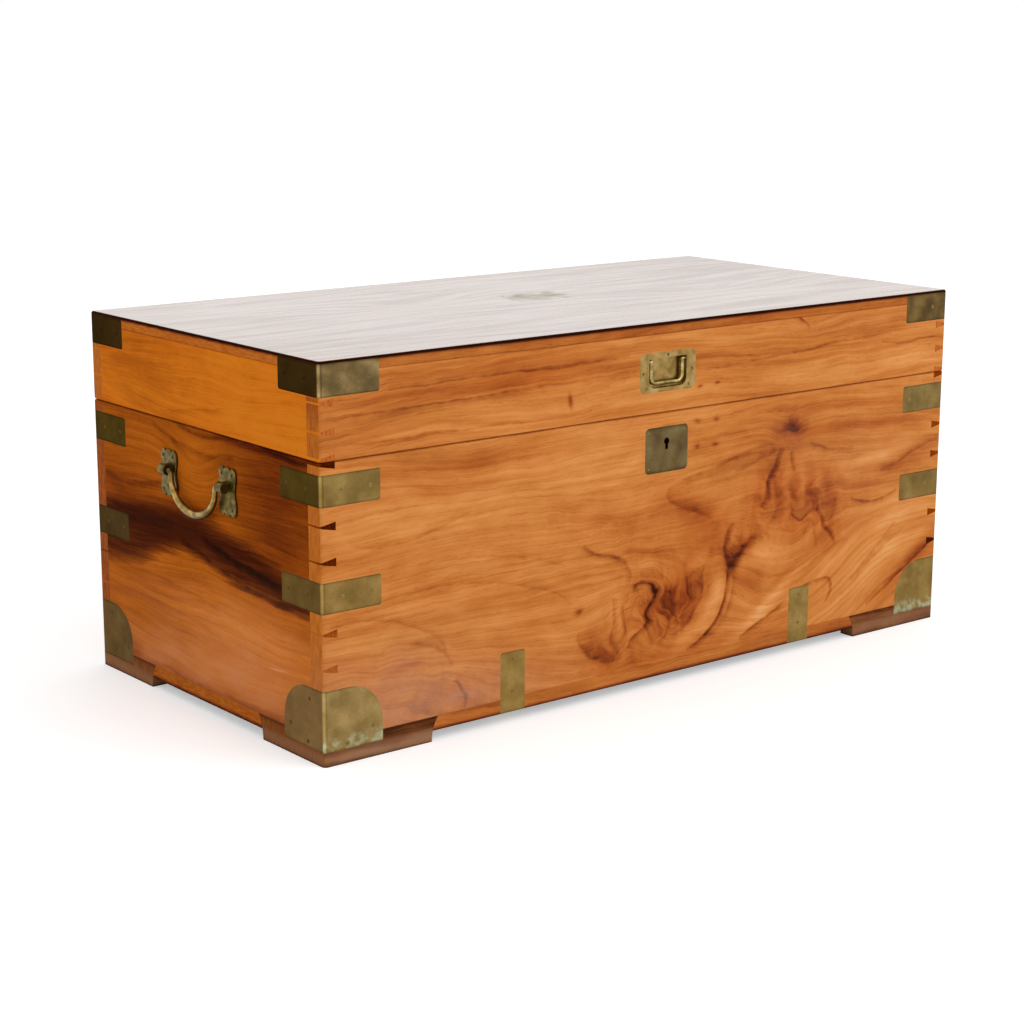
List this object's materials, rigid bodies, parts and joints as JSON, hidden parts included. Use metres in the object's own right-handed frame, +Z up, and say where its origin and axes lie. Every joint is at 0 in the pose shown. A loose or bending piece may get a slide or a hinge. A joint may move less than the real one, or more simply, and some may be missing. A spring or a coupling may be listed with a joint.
{
  "type": "campaign chest",
  "caption": "Brass-bound wooden campaign trunk on bracket feet, with a hinged locking lid, flush lid handle and drop handles on the ends.",
  "frame": {"origin": "on the floor under the middle of the case", "axes": "+X along the chest to the viewer's right, -Y out of the front, +Z up"},
  "size_m": [1.0466, 0.51, 0.458],
  "materials": {
    "camphor_case": "waxed",
    "camphor_lid": "waxed",
    "camphor_top": "polished",
    "camphor_bottom": "waxed",
    "foot_wood": "stained",
    "sheet_brass": "tarnished",
    "cast_brass": "tarnished",
    "screw_brass": "tarnished",
    "lock_iron": "dull",
    "nail_iron": "dull"
  },
  "bodies": {
    "case": {"back_board": "camphor_case", "back_left_foot": "foot_wood", "back_right_foot": "foot_wood", "bottom_boards": "camphor_bottom", "bottom_corner_back_left": "sheet_brass", "bottom_corner_back_right": "sheet_brass", "bottom_corner_front_left": "sheet_brass", "bottom_corner_front_right": "sheet_brass", "bottom_nails": "nail_iron", "bottom_strap_back_left": "sheet_brass", "bottom_strap_back_right": "sheet_brass", "bottom_strap_front_left": "sheet_brass", "bottom_strap_front_right": "sheet_brass", "case_fitting_screws": "screw_brass", "case_strap_screws": "screw_brass", "escutcheon": "cast_brass", "front_board": "camphor_case", "front_left_foot": "foot_wood", "front_right_foot": "foot_wood", "hinge_pins": "sheet_brass", "left_end_board": "camphor_case", "left_handle_back_plate": "cast_brass", "left_handle_front_plate": "cast_brass", "left_hinge_case_leaf": "sheet_brass", "lock_cap": "lock_iron", "lock_case": "lock_iron", "lock_spring": "lock_iron", "lower_strap_back_left": "sheet_brass", "lower_strap_back_right": "sheet_brass", "lower_strap_front_left": "sheet_brass", "lower_strap_front_right": "sheet_brass", "right_end_board": "camphor_case", "right_handle_back_plate": "cast_brass", "right_handle_front_plate": "cast_brass", "right_hinge_case_leaf": "sheet_brass", "upper_strap_back_left": "sheet_brass", "upper_strap_back_right": "sheet_brass", "upper_strap_front_left": "sheet_brass", "upper_strap_front_right": "sheet_brass"},
    "lid": {"flush_handle_plate": "cast_brass", "left_hinge_lid_leaf": "sheet_brass", "lid_back_rail": "camphor_lid", "lid_front_rail": "camphor_lid", "lid_left_rail": "camphor_lid", "lid_nails": "nail_iron", "lid_plaque": "sheet_brass", "lid_right_rail": "camphor_lid", "lid_screws": "screw_brass", "lid_strap_back_left": "sheet_brass", "lid_strap_back_right": "sheet_brass", "lid_strap_front_left": "sheet_brass", "lid_strap_front_right": "sheet_brass", "lid_top_board": "camphor_top", "link_plate": "sheet_brass", "right_hinge_lid_leaf": "sheet_brass"},
    "lock_bolt": {"lock_bolt": "lock_iron"},
    "left_bail": {"left_handle_bail": "cast_brass"},
    "right_bail": {"right_handle_bail": "cast_brass"},
    "flush_bail": {"flush_handle_bail": "cast_brass"}
  },
  "joints": [
    {"name": "lid_hinge", "type": "hinge", "parent": "case", "child": "lid", "pos_m": [0, 0.25, 0.3473], "axis": [-1, 0, 0], "range_deg": [0, 98]},
    {"name": "lock_bolt_slide", "type": "slide", "parent": "case", "child": "lock_bolt", "axis": [1, 0, 0], "range_m": [0, 0.008]},
    {"name": "left_bail_swing", "type": "hinge", "parent": "case", "child": "left_bail", "pos_m": [-0.517, 0, 0.289], "axis": [0, 1, 0], "range_deg": [-4, 184]},
    {"name": "right_bail_swing", "type": "hinge", "parent": "case", "child": "right_bail", "pos_m": [0.517, 0, 0.289], "axis": [0, -1, 0], "range_deg": [-4, 184]},
    {"name": "flush_bail_swing", "type": "hinge", "parent": "lid", "child": "flush_bail", "pos_m": [0, -0.252, 0.4105], "axis": [-1, 0, 0], "range_deg": [0, 110]}
  ]
}
